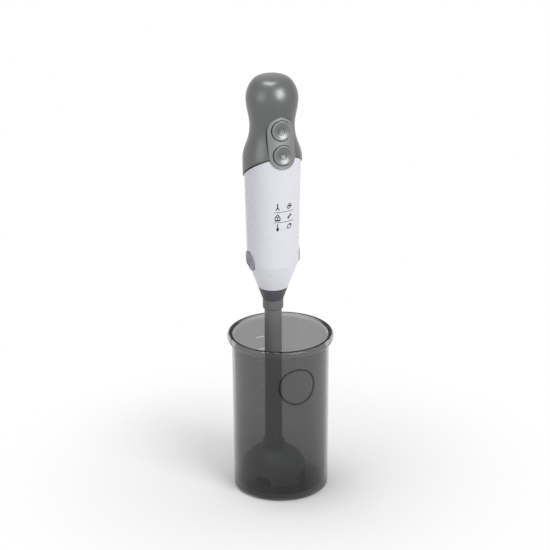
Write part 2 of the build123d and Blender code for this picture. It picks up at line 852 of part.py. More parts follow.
def release_spring():
    """Return spring between the motor's side and the +X button."""
    low = motor_half_flat
    height = motor_top - release_spring_radius - 2 * spring_wire
    underside = height - release_spring_radius - spring_wire
    high = body_radius(underside) - body_wall - rest_gap - release_plate - release_spring_room
    spring = coil(release_spring_radius, spring_wire, high - low, spring_turns)
    return Pos(low, 0, height) * Rot(0, 90, 0) * spring


def to_left(shape):
    """The same piece on the -X side."""
    return Rot(0, 0, 180) * shape


# ---------------------------------------------------------------- motor
def drive_housing():
    """Spigot that plugs into the foot, with its flange, posts and motor plate."""
    housing = rod(spigot_radius, spigot_bottom, flange_bottom) + rod(flange_radius, flange_bottom, flange_top)
    plate = rod(flange_radius + plate_rim, plate_bottom, plate_top)
    housing += plate & block(-motor_half_flat, motor_half_flat, -far, far, plate_bottom, plate_top)
    for side in (-1, 1):
        housing += rod(plate_post_radius, flange_top - fit_gap, plate_bottom + fit_gap,
                       0, side * (flange_radius - plate_post_radius - plate_post_inset))
    housing -= rod(spigot_bore, spigot_bottom - over, flange_top + over)
    housing -= rod(motor_boss + fit_gap, plate_bottom - over, plate_top + over)
    slot_in = arm_x - release_travel - slide_gap
    slot_half = arm_half_width + slide_gap
    slot_out = spigot_radius + fit_gap
    slot = block(slot_in, slot_out, -slot_half, slot_half, spigot_bottom - over, flange_top + over)
    return housing - slot - to_left(slot)


def motor():
    """Small motor with two flats, standing on the plate, with its nose and terminals."""
    can = rod(motor_radius, plate_top, motor_top)
    can &= block(-motor_half_flat, motor_half_flat, -far, far, plate_top, motor_top)
    can += rod(motor_boss, plate_bottom, plate_top)
    can -= rod(motor_shaft_radius + shaft_gap, plate_bottom - over, plate_top + motor_shaft_depth + rest_gap)
    for x in (-terminal_x, terminal_x):
        can += block(x - terminal_half_width, x + terminal_half_width,
                     -terminal_half_thickness, terminal_half_thickness,
                     motor_top - fit_gap, motor_top + terminal_height)
    return can


def motor_shaft():
    return rod(motor_shaft_radius, motor_dog_slot, plate_top + motor_shaft_depth)


def motor_dog():
    """Driving half of the coupling, slotted for the tongue."""
    dog = rod(dog_radius, motor_dog_bottom, motor_dog_top)
    slot_half = tongue_thickness / 2 + dog_play
    dog -= block(-far, far, -slot_half, slot_half, motor_dog_bottom - over, motor_dog_slot)
    return dog - rod(motor_shaft_radius, motor_dog_slot - over, motor_dog_top + over)


# ---------------------------------------------------------------- power and sound
def battery_tray():
    """Cradle for three cells, open to the back, with end walls and a screw tab."""
    tray = rod(tray_radius, tray_bottom, tray_top)
    tray &= block(-far, far, tray_front, far, tray_bottom, tray_top)
    low = tray_bottom + tray_end
    pocket_radius = cell_radius + slide_gap
    for x, y in cell_places():
        tray -= rod(pocket_radius, low, contacts_top, x, y)
        mouth = block(0, far, -pocket_radius, pocket_radius, low, contacts_top)
        tray -= Pos(x, y, 0) * Rot(0, 0, math.degrees(math.atan2(y, x))) * mouth
    tray += block(-tab_half_width, tab_half_width, tray_front, door_screw_seat() - tab_room,
                  door_screw_height - boss_radius, low)
    return tray - rod_y(screw_radius + shaft_gap, 0, far, 0, door_screw_height)


def door_screw_seat():
    """Inner face of the door at its screw, from the axis."""
    return body_radius(door_screw_height) - body_wall


def battery_door():
    """Curved cover over the cells, with a recess for its screw."""
    panel = body_core(0, door_bottom, door_top) - body_core(body_wall, door_bottom - over, door_top + over)
    seat = door_screw_seat()
    panel += rod_y(door_boss_radius, seat - door_boss_depth, seat + body_wall / 2, 0, door_screw_height)
    panel &= door_prism(slide_gap)
    panel -= rod_y(screw_head_radius + fit_gap, seat + door_seat_height, far, 0, door_screw_height)
    return panel - rod_y(screw_radius + fit_gap, 0, far, 0, door_screw_height)


def door_screw():
    return screw(door_screw_seat() + door_seat_height, door_screw_height, door_screw_length)


def cell(place):
    """One AAA cell with its button end up."""
    x, y = place
    can_top = cells_bottom + cell_length - cell_nub_height
    can = rod(cell_radius, cells_bottom, can_top, x, y)
    can = chamfer(can.edges().filter_by(GeomType.CIRCLE), cell_edge)
    return can + rod(cell_nub_radius, can_top, can_top + cell_nub_height, x, y)


def contact_plates():
    """Dimpled contacts at the button ends of the cells."""
    plates = []
    for x, y in cell_places():
        pad = rod(contact_radius, contacts_top - contact_thickness, contacts_top, x, y)
        plates.append(pad + rod(contact_dimple, cells_bottom + cell_length, contacts_top, x, y))
    return plates


def contact_springs():
    """Springs at the flat ends of the cells."""
    spring = coil(contact_spring_radius, contact_wire, contact_room, contact_turns)
    return [Pos(x, y, tray_bottom + tray_end) * spring for x, y in cell_places()]


def speaker():
    """Small round speaker: basket open to the back, and magnet."""
    basket = rod_y(speaker_radius, speaker_back - speaker_frame, speaker_back, 0, speaker_height)
    basket -= rod_y(speaker_radius - speaker_rim, speaker_back - speaker_frame / 2, far, 0, speaker_height)
    return basket + rod_y(magnet_radius, speaker_back - speaker_depth, speaker_back - speaker_frame / 2,
                          0, speaker_height)


# ---------------------------------------------------------------- assembly
def build_pieces():
    """Every piece of the blender about its own axis, by node name."""
    body = body_shell()
    grip = grip_shell()
    pieces = {
        "blade_guard": blade_guard(),
        "shaft_tube": shaft_tube(),
        "foot_cone": foot_cone(),
        "lower_bush": lower_bush(),
        "upper_bush": upper_bush(),
        "drive_shaft": drive_shaft(),
        "drive_dog": drive_dog(),
        "blade_hub": blade_hub(),
        "blade": blade(),
        "front_shell": front_shell(body),
        "rear_shell": rear_shell(body),
        "grip_front": grip_front(grip),
        "grip_rear": grip_rear(grip),
        "button_bezel": button_bezel(),
        "lower_button": push_button(0),
        "upper_button": push_button(button_pitch),
        "lower_button_spring": button_spring(0),
        "upper_button_spring": button_spring(button_pitch),
        "lower_switch": switch(0),
        "upper_switch": switch(button_pitch),
        "switch_board": switch_board(),
        "board_screws": board_screws(),
        "sound_chip": sound_chip(),
        "right_release": release_button(),
        "left_release": to_left(release_button()),
        "right_release_spring": release_spring(),
        "left_release_spring": to_left(release_spring()),
        "drive_housing": drive_housing(),
        "motor": motor(),
        "motor_shaft": motor_shaft(),
        "motor_dog": motor_dog(),
        "battery_tray": battery_tray(),
        "battery_door": battery_door(),
        "door_screw": door_screw(),
        "contact_plates": contact_plates(),
        "contact_springs": contact_springs(),
        "speaker": speaker(),
        "shell_screws": shell_screws(),
    }
    for name, place in zip(("right_cell", "middle_cell", "left_cell"), cell_places()):
        pieces[name] = cell(place)
    return pieces


def stood(piece):
    """A piece, or a group of separate solids, moved to where the blender stands."""
    place = Pos(stand_x, stand_y, 0)
    if isinstance(piece, list):
        return Compound([place * solid for part in piece for solid in part.solids()])
    return place * piece


def main():
    os.makedirs("parts", exist_ok=True)
    export_step(measuring_cup(), "parts/measuring_cup.step")
    for name, piece in build_pieces().items():
        export_step(stood(piece), f"parts/{name}.step")


if __name__ == "__main__":
    main()
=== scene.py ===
"""Toy hand blender in its measuring cup: finishes, moulded and printed marks, and a plain stage."""

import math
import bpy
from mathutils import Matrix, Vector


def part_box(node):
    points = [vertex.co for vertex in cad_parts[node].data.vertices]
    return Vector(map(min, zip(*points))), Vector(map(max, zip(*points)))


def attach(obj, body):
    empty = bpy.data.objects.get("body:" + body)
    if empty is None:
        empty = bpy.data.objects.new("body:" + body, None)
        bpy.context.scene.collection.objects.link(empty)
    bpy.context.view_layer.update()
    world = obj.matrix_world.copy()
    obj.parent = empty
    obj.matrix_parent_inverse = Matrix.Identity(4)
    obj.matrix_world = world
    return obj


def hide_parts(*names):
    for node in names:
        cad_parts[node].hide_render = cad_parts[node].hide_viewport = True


bl_info = {
    "name": "Toy hand blender",
    "version": (1, 0, 0),
    "blender": (4, 5, 0),
    "location": "View3D > Sidebar > Toy Blender",
    "description": "Dresses the toy hand blender and its measuring cup",
    "category": "Object",
}

from collections import namedtuple

import bmesh
import bpy
from bpy.props import FloatProperty, FloatVectorProperty, IntProperty, PointerProperty
from mathutils import Matrix, Vector
from mathutils.bvhtree import BVHTree

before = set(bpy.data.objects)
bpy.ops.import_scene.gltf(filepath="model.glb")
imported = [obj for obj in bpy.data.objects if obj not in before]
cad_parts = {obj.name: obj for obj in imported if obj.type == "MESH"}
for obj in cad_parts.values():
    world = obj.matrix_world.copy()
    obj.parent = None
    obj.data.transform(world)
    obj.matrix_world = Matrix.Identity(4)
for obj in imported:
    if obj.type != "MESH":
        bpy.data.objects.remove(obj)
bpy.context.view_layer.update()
MM = 0.001
MILLILITRE = 1e-6          # in cubic metres
ON_AXIS = 1e-7             # a smaller radius is a point on the axis
WELD = 0.001 * MM          # points closer than this are one point

CUP_LOW, CUP_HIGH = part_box("measuring_cup")
TUBE_LOW, TUBE_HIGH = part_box("shaft_tube")
SHELL_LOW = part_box("front_shell")[0]
CELL_LOW, CELL_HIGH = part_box("middle_cell")
AXIS_X = (TUBE_LOW.x + TUBE_HIGH.x) / 2
AXIS_Y = (TUBE_LOW.y + TUBE_HIGH.y) / 2


# ---------------------------------------------------------------- sizes and colours
def display(red, green, blue):
    """A colour given as it shows on a screen, 0 to 255, as Blender's linear values."""
    shares = [value / 255 for value in (red, green, blue)]
    return tuple(s / 12.92 if s <= 0.04045 else ((s + 0.055) / 1.055) ** 2.4 for s in shares)


def length(name, millimetres, description):
    """A setting given in millimetres and kept in metres."""
    return FloatProperty(name=name, description=description, default=millimetres * MM,
                         min=0, subtype="DISTANCE", unit="LENGTH", precision=5)


def colour(name, shown, description):
    """A setting given as a colour on a screen."""
    return FloatVectorProperty(name=name, description=description, default=display(*shown),
                               size=3, min=0, max=1, subtype="COLOR")


def amount(name, value, description):
    """A setting that is a plain number."""
    return FloatProperty(name=name, description=description, default=value, min=0)


def degrees(name, value, description):
    """A setting given in degrees and kept in radians."""
    return FloatProperty(name=name, description=description, default=math.radians(value),
                         subtype="ANGLE", unit="ROTATION")


class TOYBLENDER_PG_cup(bpy.types.PropertyGroup):
    wall_radius: length("Wall radius", 40.3, "Outside of the wall, under the rim")
    draft: length("Draft", 0.8, "How much narrower the cup is at its floor")
    wall: length("Wall", 2.2, "Thickness of the wall")
    floor: length("Floor", 5.0, "Thickness of the floor")
    base_round: length("Base round", 3.0, "Rounding round the underside")
    rim_height: length("Rim height", 4.6, "Height of the rim's bead")
    rim_round: length("Rim round", 1.7, "Rounding of the rim's top edge")
    lead_in: length("Lead-in", 2.8, "Width of the slope inside the rim")
    lead_depth: length("Lead-in depth", 2.6, "Depth of the slope inside the rim")
    foot_recess: length("Foot recess", 0.4, "Hollow in the underside")
    ring_radius: length("Ring radius", 16.0, "Moulded ring on the front wall")
    ring_band: length("Ring band", 1.3, "Width of the moulded ring")
    ring_height: length("Ring height", 104.5, "Ring's centre above the underside")
    ring_shift: length("Ring shift", 2.0, "Ring's centre to the left of the front")
    relief: length("Relief", 0.45, "How far moulded marks stand off the wall")
    mark_thickness: length("Mark thickness", 0.9, "Height of a fill mark")
    long_mark: length("Long mark", 11.0, "Length of a full fill mark")
    short_mark: length("Short mark", 6.0, "Length of a half fill mark")
    mark_volume: amount("Mark step", 50, "Millilitres between fill marks")
    mark_count: IntProperty(name="Marks", description="How many fill marks", default=10, min=1)
    segments: IntProperty(name="Segments", description="Facets round the cup", default=144, min=24)
    ring_steps: IntProperty(name="Ring steps", description="Steps round the ring", default=96, min=24)
    smooth: degrees("Smooth", 35, "The cup's edges sharper than this stay sharp")
    gloss: amount("Roughness", 0.03, "How rough the clear plastic is")
    coat: amount("Coat", 0.8, "How strongly the clear plastic mirrors its surroundings")
    tint: colour("Tint", (147, 148, 147), "Smoky tint of the clear plastic")
    # Painted shade at the rim's inner edge, darkest where it is seen edge on: it stands in for the dark
    # look that bent light gives the clear plastic's edge
    lip_painted_shade: amount("Lip shade", 0.01, "Share of the tint that is left at the rim's dark edge")
    lip_band: length("Lip band", 1.7, "How far the dark inner edge runs out over the rim's top")
    lip_depth: length("Lip depth", 1.1, "How far the dark inner edge runs down the slope")
    lip_start: amount("Lip start", 0.1, "How edge on the rim's inner edge starts to look dark")
    lip_end: amount("Lip end", 0.4, "How edge on the rim's inner edge looks fully dark")
    # Painted light on the rim's bead and on the fill marks at the back, and painted shade on the moulded
    # ring at the front
    bead_painted_light: amount("Bead clearness", 0.3, "How clear the rim's bead looks")
    ring_painted_shade: amount("Ring darkness", 0.8, "How dark the moulded ring looks")
    mark_painted_light: amount("Mark clearness", 1.0, "How clear the fill marks look")
    bending: amount("Bending", 1.03, "How much the plastic bends light: 1 is not at all")


class TOYBLENDER_PG_prints(bpy.types.PropertyGroup):
    stroke: length("Stroke", 0.72, "Width of a printed line")
    rule: length("Rule", 0.42, "Width of a dividing line")
    ink_height: length("Ink", 0.05, "Thickness of the printed ink")
    ink_sunk: amount("Ink sunk", 0.2, "Share of the ink's thickness that is in the body")
    icon: length("Icon size", 6.2, "Height of a pictogram")
    column_shift: length("Column shift", 5.5, "Columns to each side of their middle")
    column_middle: length("Column middle", 0.5, "Middle of the columns, right of the body's front")
    top_row: length("Top row", 254.0, "Height of the top row above the cup's underside")
    row_pitch: length("Row pitch", 8.75, "Height between rows")
    rule_left: length("Rule to the left", 8.0, "How far the dividing lines run left")
    rule_right: length("Rule to the right", 10.4, "How far the dividing lines run right")
    ink: colour("Ink colour", (24, 24, 28), "Colour of the print")


class TOYBLENDER_PG_buttons(bpy.types.PropertyGroup):
    symbol_radius: length("Symbol radius", 2.9, "Size of the raised symbol on a button")
    symbol_line: length("Symbol line", 0.75, "Width of the raised line")
    symbol_height: length("Symbol height", 0.3, "How far the symbol stands up")
    symbol_sunk: amount("Symbol sunk", 0.25, "Share of the symbol's height that is in the button")
    tilt: degrees("Tilt", 10, "How far the buttons lean back")


class TOYBLENDER_PG_finishes(bpy.types.PropertyGroup):
    body_white: colour("Body white", (220, 221, 226), "Gloss white body")
    # The grip's silver is painted darker, as shade on its side, and the bezel's lighter, as lit: both are
    # one silver paint
    grip_silver: colour("Grip silver", (106, 107, 107), "Silver paint of the grip")
    lit_bezel_silver: colour("Bezel silver", (138, 139, 139), "Silver paint round the buttons")
    button_silver: colour("Button silver", (118, 119, 119), "Silver paint of the buttons")
    symbol_silver: colour("Symbol silver", (94, 95, 95), "Silver paint of the buttons' symbols")
    release_grey: colour("Release grey", (148, 149, 153), "Release buttons")
    # The cone's grey is painted darker, as shade under the body, and the collar's lighter, as lit: the two
    # are one grey plastic
    cone_grey: colour("Cone grey", (80, 82, 84), "Cone")
    lit_collar_grey: colour("Collar grey", (100, 104, 103), "Collar under the cone")
    collar_height: length("Collar height", 8.0, "Height of the collar under the cone")
    foot_grey: colour("Foot grey", (108, 111, 111), "Tube and bell")
    blade_grey: colour("Blade grey", (170, 172, 175), "Blade")
    inner_white: colour("Inner white", (216, 215, 210), "Hidden mouldings")
    steel: colour("Steel", (196, 197, 200), "Screws, shafts and springs")
    black: colour("Black", (34, 34, 36), "Switches, couplings and speaker")
    board_green: colour("Board green", (38, 96, 58), "Switch board")
    cell_jacket: colour("Cell jacket", (62, 66, 74), "Jacket of the cells")
    cell_band: colour("Cell band", (196, 142, 66), "Band at the cells' button end")


class TOYBLENDER_PG_stage(bpy.types.PropertyGroup):
    floor_colour: colour("Floor", (253, 253, 253), "Colour of the floor")
    floor_size: length("Floor size", 12000.0, "Side of the floor")
    fade_start: length("Fade start", 30.0, "Where the floor starts to fade to white")
    fade_end: length("Fade end", 260.0, "Where the floor is all white")
    key_power: amount("Key light", 29.0, "Power of the main light, in watts")
    fill_power: amount("Fill light", 5.0, "Power of the fill light, in watts")
    top_power: amount("Top light", 16.0, "Power of the light above, in watts")
    sky: amount("Sky", 0.28, "Strength of the even light all round")
    azimuth: degrees("Azimuth", -23.016, "Where the camera stands, right of the part's front")
    elevation: degrees("Elevation", 22.2, "How far the camera looks down")
    roll: degrees("Roll", -0.302, "How far the camera leans")
    distance: length("Distance", 1955.5, "From the camera to the point it looks at")
    lens: amount("Lens", 156.305, "Focal length in millimetres")
    sensor: amount("Sensor", 36.0, "Sensor width in millimetres")
    clip_end: length("Clip end", 20000.0, "How far the camera sees")
    target: FloatVectorProperty(name="Target", description="Point the camera looks at", size=3,
                                default=(-0.00355, 0.0024, 0.18786), subtype="TRANSLATION",
                                unit="LENGTH")


# ---------------------------------------------------------------- shader values
class Value:
    """A number or colour on a surface. Python operators on it add Math nodes."""

    def __init__(self, paint, socket):
        self.paint = paint
        self.socket = socket

    def maths(self, operation, *others):
        """The value that a Math node makes of this one and others."""
        return self.paint.node("ShaderNodeMath", {"operation": operation}, [self, *others])

    def __add__(self, other):
        return self.maths("ADD", other)

    __radd__ = __add__

    def __mul__(self, other):
        return self.maths("MULTIPLY", other)

    __rmul__ = __mul__

    def __sub__(self, other):
        return self.maths("SUBTRACT", other)

    def __rsub__(self, other):
        return self.paint.node("ShaderNodeMath", {"operation": "SUBTRACT"}, [other, self])

    def __gt__(self, other):
        return self.maths("GREATER_THAN", other)

    def __lt__(self, other):
        return self.maths("LESS_THAN", other)


# A Mix node's colour sockets go by their places, because its number sockets have the same names
MIX_SHARE, MIX_FIRST, MIX_SECOND, MIX_RESULT = 0, 6, 7, 2
EDGE_SAMPLES = 6
WHITE = (1, 1, 1, 1)


class Paint:
    """One material, or the sky, and its nodes."""

    def __init__(self, name, kind="materials"):
        self.owner = getattr(bpy.data, kind).new(name)
        self.owner.use_nodes = True
        self.tree = self.owner.node_tree
        self.tree.nodes.clear()

    def node(self, kind, settings=None, inputs=(), output=0):
        """Adds a node, sets it up, and gives its output as a Value."""
        made = self.tree.nodes.new(kind)
        for name, value in (settings or {}).items():
            setattr(made, name, value)
        for place, value in inputs.items() if isinstance(inputs, dict) else enumerate(inputs):
            if isinstance(value, Value):
                self.tree.links.new(value.socket, made.inputs[place])
            else:
                made.inputs[place].default_value = value
        return Value(self, made.outputs[output]) if made.outputs else None

    def place(self):
        """Position on the piece, in metres from the part's origin."""
        return self.node("ShaderNodeTexCoord", output="Object")

    def along(self, axis):
        """One coordinate on the piece."""
        return self.node("ShaderNodeSeparateXYZ", inputs=[self.place()], output=axis)

    def distance(self, axes=(1, 1, 1)):
        """Distance from the part's origin, along the axes that are 1 and not those that are 0."""
        kept = self.node("ShaderNodeVectorMath", {"operation": "MULTIPLY"}, [self.place(), axes])
        return self.node("ShaderNodeVectorMath", {"operation": "LENGTH"}, [kept], "Value")

    def ray(self, kind):
        """1 for a kind of ray and 0 for the others."""
        return self.node("ShaderNodeLightPath", output=f"Is {kind} Ray")

    def looked_at(self):
        """1 where the camera looks, straight, mirrored or through plastic, and 0 for light's own paths."""
        direct = self.ray("Camera").maths("MAXIMUM", self.ray("Glossy"))
        return direct.maths("MAXIMUM", self.ray("Transmission"))

    def noise(self, size, detail=2.0):
        """Cloudy value about 0 to 1, with patches about size metres across."""
        inputs = {"Vector": self.place(), "Scale": 1 / size, "Detail": detail}
        return self.node("ShaderNodeTexNoise", inputs=inputs)

    def grains(self, size):
        """Shade of gravel-like cells about size metres across."""
        inputs = {"Vector": self.place(), "Scale": 1 / size}
        return self.node("ShaderNodeTexVoronoi", inputs=inputs, output="Distance")

    def between(self, low, high, share):
        """A number that runs from low to high as share runs from 0 to 1."""
        return share * (high - low) + low

    def blend(self, share, first, second):
        """A colour that runs from first to second as share runs from 0 to 1."""
        inputs = {MIX_SHARE: share, MIX_FIRST: opaque(first), MIX_SECOND: opaque(second)}
        return self.node("ShaderNodeMix", {"data_type": "RGBA"}, inputs, MIX_RESULT)

    def soft_edges(self, radius):
        """Normal that makes edges look rounded."""
        return self.node("ShaderNodeBevel", {"samples": EDGE_SAMPLES}, {"Radius": radius})

    def bump(self, height, distance, strength, normal=None):
        """Normal of a relief of this depth, on top of another normal."""
        inputs = {"Height": height, "Distance": distance, "Strength": strength}
        if normal is not None:
            inputs["Normal"] = normal
        return self.node("ShaderNodeBump", inputs=inputs)

    def shader(self, **sockets):
        """A Principled shader with its sockets given by name, underscores for spaces."""
        inputs = {name.replace("_", " "): value for name, value in sockets.items()}
        if "Base Color" in inputs:
            inputs["Base Color"] = opaque(inputs["Base Color"])
        return self.node("ShaderNodeBsdfPrincipled", inputs=inputs)

    def done(self, surface, output="ShaderNodeOutputMaterial"):
        """Ends the tree with its surface, and gives the material or sky."""
        self.node(output, inputs={"Surface": surface})
        return self.owner


def opaque(shade):
    """A colour with its alpha, or a Value as it is."""
    return shade if isinstance(shade, Value) else (*tuple(shade)[:3], 1.0)


def dimmed(shade, share):
    """A colour made darker, or lighter by a share over 1."""
    return tuple(value * share for value in tuple(shade)[:3])


# ---------------------------------------------------------------- finishes
# Sizes of what shows on each finish
PLASTIC_CLOUD = 14 * MM    # patches of uneven colour
PLASTIC_GLOSS = 4 * MM     # patches of uneven gloss
PLASTIC_EDGE = 0.25 * MM   # how far edges look rounded
PAINT_CLOUD = 20 * MM
PAINT_FLAKE = 0.35 * MM
PAINT_RIPPLE = 0.5 * MM
PAINT_RELIEF = 0.015 * MM
PAINT_EDGE = 0.35 * MM
STEEL_STAIN = 3 * MM
STEEL_LINES = 900.0        # turning lines, as the wave's scale per metre
STEEL_RELIEF = 0.01 * MM
FINE_EDGE = 0.15 * MM      # on steel and on the board
CLEAR_RIPPLE = 18 * MM
CLEAR_RELIEF = 0.25 * MM
# patches of uneven strength in the cup's painted shade
CLEAR_SHADE_PATCH = 3 * MM
INK_CLOUD = 0.6 * MM
INK_GLOSS = 1 * MM
TRACK_SCALE = 260.0        # tracks on the board, as the brick pattern's scale per metre
TRACK_HEIGHT = 0.03 * MM
CELL_GLOSS = 5 * MM
CELL_EDGE = 0.2 * MM
CELL_TOP = 1.4 * MM        # bare metal at the button end
CELL_BOTTOM = 0.5 * MM
CELL_BAND_FROM = 0.7       # share of the cell's length where its band starts
FLOOR_CLOUD = 500 * MM


def moulded(name, shade, roughness, grain, mottle=0.06, coat=0.0, relief=0.02, below=None):
    """Moulded plastic: a little uneven in colour and gloss, with a fine grain.

    grain and relief are its size and depth in millimetres, and below gives a height and the shade
    under it.
    """
    paint = Paint(name)
    clouds = paint.noise(PLASTIC_CLOUD, detail=3)
    base = paint.blend(clouds, dimmed(shade, 1 - mottle), dimmed(shade, 1 + mottle / 2))
    if below:
        base = paint.blend(paint.along("Z") < below[0], base, below[1])
    rough = paint.between(roughness - 0.05, roughness + 0.06, paint.noise(PLASTIC_GLOSS))
    skin = paint.noise(grain * MM)
    normal = paint.bump(skin, relief * MM, strength=0.35, normal=paint.soft_edges(PLASTIC_EDGE))
    return paint.done(paint.shader(Base_Color=base, Roughness=rough, Coat_Weight=coat,
                                   Coat_Roughness=0.08, Normal=normal))


def silver_paint(name, shade):
    """Satin silver paint over plastic: fine flakes under a thin clear coat."""
    paint = Paint(name)
    flakes = paint.grains(PAINT_FLAKE)
    dark = dimmed(shade, 0.9)
    flaked = paint.blend(flakes, dimmed(shade, 1.06), dark)
    base = paint.blend(paint.noise(PAINT_CLOUD) * 0.25, flaked, dark)
    rough = paint.between(0.3, 0.42, flakes)
    ripple = paint.noise(PAINT_RIPPLE)
    normal = paint.bump(ripple, PAINT_RELIEF, strength=0.25, normal=paint.soft_edges(PAINT_EDGE))
    return paint.done(paint.shader(Base_Color=base, Metallic=0.85, Roughness=rough,
                                   Coat_Weight=0.2, Coat_Roughness=0.2, Normal=normal))


def turned_steel(name, shade, roughness=0.28):
    """Bright steel with fine turning lines round the upright axis."""
    paint = Paint(name)
    lines = paint.node("ShaderNodeTexWave", {"bands_direction": "Z"},
                       {"Vector": paint.place(), "Scale": STEEL_LINES, "Distortion": 0.6, "Detail": 2.0})
    base = paint.blend(paint.noise(STEEL_STAIN), dimmed(shade, 0.88), shade)
    rough = paint.between(roughness, roughness + 0.12, lines)
    normal = paint.bump(lines, STEEL_RELIEF, strength=0.4, normal=paint.soft_edges(FINE_EDGE))
    return paint.done(paint.shader(Base_Color=base, Metallic=1.0, Roughness=rough, Normal=normal))


def smoky_clear(name, cup):
    """Clear smoky plastic with painted shade at the rim's inner edge and on the ring, painted light on the
    bead and the fill marks at the back, and a pale shadow.
    """
    paint = Paint(name)
    tint = tuple(cup.tint)
    height, radius = paint.along("Z"), paint.distance((1, 1, 0))
    rim_low = CUP_HIGH.z - cup.rim_height
    lip_out = cup.wall_radius - cup.wall + cup.lead_in + cup.lip_band
    aslant = paint.node("ShaderNodeLayerWeight", output="Facing")
    edge_on = paint.node("ShaderNodeMapRange", inputs=[aslant, cup.lip_start, cup.lip_end])
    # Painted shade at the rim's inner edge, stronger where the rim is seen edge on
    lip = (height > CUP_HIGH.z - cup.lip_depth) * (radius < lip_out) * edge_on
    bead = (height > rim_low) * (radius > lip_out)
    wall = height * (cup.draft / rim_low) + wall_at(cup, 0)
    marks = (radius > wall + cup.relief / 2) * (height < rim_low - cup.rim_height)
    back = paint.along("Y") > 0
    # The bead and the fill marks at the back are painted clearer, as painted light
    tint_with_painted_light = paint.blend(bead * cup.bead_painted_light + marks * back * cup.mark_painted_light, tint, (1, 1, 1))
    # Patches that make the painted shade a little uneven
    shade_patches = paint.between(0.97, 1.0, paint.noise(CLEAR_SHADE_PATCH))
    ripple = paint.bump(paint.noise(CLEAR_RIPPLE, detail=1), CLEAR_RELIEF, strength=0.25)
    # Painted shade on the rim's inner edge and on the moulded ring at the front
    dark = (lip + marks * (1 - back) * cup.ring_painted_shade) * shade_patches
    solid = paint.shader(Base_Color=paint.blend(dark, tint_with_painted_light, dimmed(tint, cup.lip_painted_shade)),
                         Roughness=cup.gloss, IOR=cup.bending, Transmission_Weight=1.0,
                         Coat_Weight=(1 - dark) * cup.coat, Coat_Roughness=cup.gloss, Normal=ripple)
    pale = paint.node("ShaderNodeBsdfTransparent", inputs=[opaque(tint)])
    return paint.done(paint.node("ShaderNodeMixShader", inputs=[paint.ray("Shadow"), solid, pale]))


def printed_ink(name, shade):
    """Matt ink, a little uneven."""
    paint = Paint(name)
    base = paint.blend(paint.noise(INK_CLOUD), dimmed(shade, 0.7), dimmed(shade, 1.2))
    rough = paint.between(0.35, 0.5, paint.noise(INK_GLOSS))
    return paint.done(paint.shader(Base_Color=base, Roughness=rough))


def lacquered_board(name, shade):
    """Green board with paler copper tracks under the lacquer."""
    paint = Paint(name)
    tracks = paint.node("ShaderNodeTexBrick", {"offset": 0.35, "squash": 0.6},
                        {"Vector": paint.place(), "Scale": TRACK_SCALE, "Mortar Size": 0.06,
                         "Color1": (0, 0, 0, 1), "Color2": (0, 0, 0, 1), "Mortar": (1, 1, 1, 1)})
    lines = paint.node("ShaderNodeSeparateColor", inputs=[tracks])
    base = paint.blend(lines, shade, dimmed(shade, 1.9))
    normal = paint.bump(lines, TRACK_HEIGHT, strength=0.8, normal=paint.soft_edges(FINE_EDGE))
    return paint.done(paint.shader(Base_Color=base, Roughness=0.35, Coat_Weight=0.5, Normal=normal))


def cell_jacket(name, jacket, band, metal):
    """Cell: dark jacket, warm band at the button end, bare metal at both ends."""
    paint = Paint(name)
    low, high = CELL_LOW.z, CELL_HIGH.z
    height = paint.along("Z")
    banded = height > low + CELL_BAND_FROM * (high - low)
    bare = (height > high - CELL_TOP) + (height < low + CELL_BOTTOM)
    base = paint.blend(bare, paint.blend(banded, jacket, band), metal)
    rough = paint.between(0.3, 0.42, paint.noise(CELL_GLOSS))
    return paint.done(paint.shader(Base_Color=base, Metallic=bare, Roughness=rough,
                                   Normal=paint.soft_edges(CELL_EDGE)))


def floor_paint(name, stage):
    """Pale floor that keeps the shadow round the part and fades to plain white further out."""
    paint = Paint(name)
    shade = tuple(stage.floor_colour)
    base = paint.blend(paint.noise(FLOOR_CLOUD, detail=3), dimmed(shade, 0.99), shade)
    lit = paint.shader(Base_Color=base, Roughness=0.8)
    white = paint.node("ShaderNodeEmission", inputs=[WHITE, 1.0])
    far = paint.node("ShaderNodeMapRange", {"interpolation_type": "SMOOTHSTEP"},
                     [paint.distance(), stage.fade_start, stage.fade_end])
    return paint.done(paint.node("ShaderNodeMixShader", inputs=[far * paint.looked_at(), lit, white]))


# ---------------------------------------------------------------- mesh helpers
def new_piece(name, bm, material, body, smooth=math.radians(40)):
    """Turns a bmesh into a piece that rides on a body."""
    bmesh.ops.recalc_face_normals(bm, faces=bm.faces)
    mesh = bpy.data.meshes.new(name)
    bm.to_mesh(mesh)
    bm.free()
    mesh.materials.append(material)
    piece = bpy.data.objects.new(name, mesh)
    bpy.context.scene.collection.objects.link(piece)
    smooth_by_angle(piece, smooth)
    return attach(piece, body)


def smooth_by_angle(piece, angle):
    """Smooth shading, with the edges over an angle kept sharp."""
    piece.data.shade_smooth()
    piece.data.set_sharp_from_angle(angle=angle)


def rounded_outline(corners, steps=6):
    """Points along (x, y, round) corners, each corner an arc of its own radius."""
    points = []
    for index, (x, y, radius) in enumerate(corners):
        here = Vector((x, y))
        if radius == 0 or index in (0, len(corners) - 1):
            points.append(here)
            continue
        before = (Vector(corners[index - 1][:2]) - here).normalized()
        after = (Vector(corners[index + 1][:2]) - here).normalized()
        half = before.angle(after) / 2
        reach = radius / math.tan(half)
        centre = here + (before + after).normalized() * (radius / math.sin(half))
        start = here + before * reach - centre
        turn = start.angle_signed(here + after * reach - centre)
        for step in range(steps + 1):
            spoke = start.copy()
            spoke.rotate(Matrix.Rotation(-turn * step / steps, 2))
            points.append(centre + spoke)
    return points


